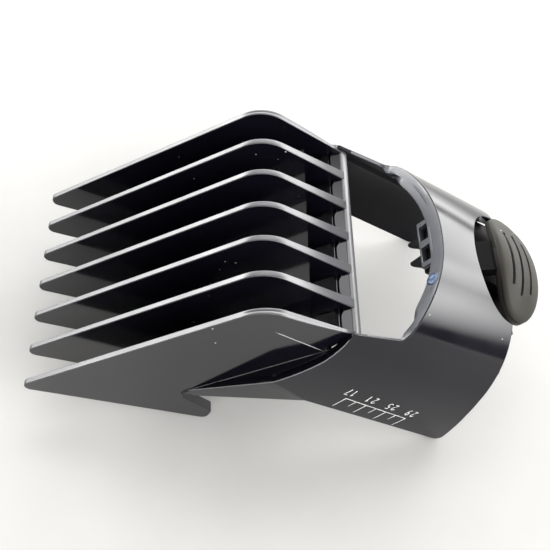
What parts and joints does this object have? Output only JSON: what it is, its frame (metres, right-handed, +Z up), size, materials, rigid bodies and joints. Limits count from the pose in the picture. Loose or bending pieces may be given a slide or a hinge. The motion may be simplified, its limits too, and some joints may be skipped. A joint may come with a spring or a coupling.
{
  "type": "clipper guard comb",
  "caption": "Hair clipper guard comb with long sloping guard teeth, an arched slide-on collar and a sprung release button that lifts its claws off the clipper.",
  "frame": {"origin": "middle of the footprint box, on the surface the comb lies on", "axes": "+X runs from the tooth tips towards the collar's rear, +Y to the right of the clipper, and +Z up. The comb lies on its heels and the collar's lower rear corners, so the clipper's direction points 30.2 degrees below +X"},
  "size_m": [0.089, 0.046, 0.0388],
  "materials": {
    "black_gloss_plastic": "polished black injection moulding with fine dust and handling marks",
    "latch_plastic": "fine matte black, stiff inner moulding",
    "button_plastic": "semi-gloss brownish grey, three moulded grip grooves",
    "pin_steel": "ground steel pin",
    "spring_steel": "drawn spring wire"
  },
  "bodies": {
    "comb_body": {"tooth_1": "black_gloss_plastic", "tooth_2": "black_gloss_plastic", "tooth_3": "black_gloss_plastic", "tooth_4": "black_gloss_plastic", "tooth_5": "black_gloss_plastic", "tooth_6": "black_gloss_plastic", "tooth_7": "black_gloss_plastic", "cross_rail": "black_gloss_plastic", "left_side_wall": "black_gloss_plastic", "right_side_wall": "black_gloss_plastic", "left_blade_cheek": "black_gloss_plastic", "right_blade_cheek": "black_gloss_plastic", "collar_roof": "black_gloss_plastic", "rim_lip": "black_gloss_plastic", "latch_guide": "black_gloss_plastic", "left_pivot_ear": "black_gloss_plastic", "right_pivot_ear": "black_gloss_plastic", "spring_post": "black_gloss_plastic", "pivot_pin": "pin_steel", "return_spring": "spring_steel"},
    "latch": {"latch_lever": "latch_plastic", "latch_claws": "latch_plastic", "release_button": "button_plastic"}
  },
  "joints": [
    {"name": "latch_pivot", "type": "hinge", "parent": "comb_body", "child": "latch", "pos_m": [0.02857, 0, 0.02543], "axis": [0, 1, 0], "range_deg": [0, 8], "stiffness_Nm_per_rad": 0.13, "springref_deg": -3.44, "deforming": ["return_spring"]}
  ]
}
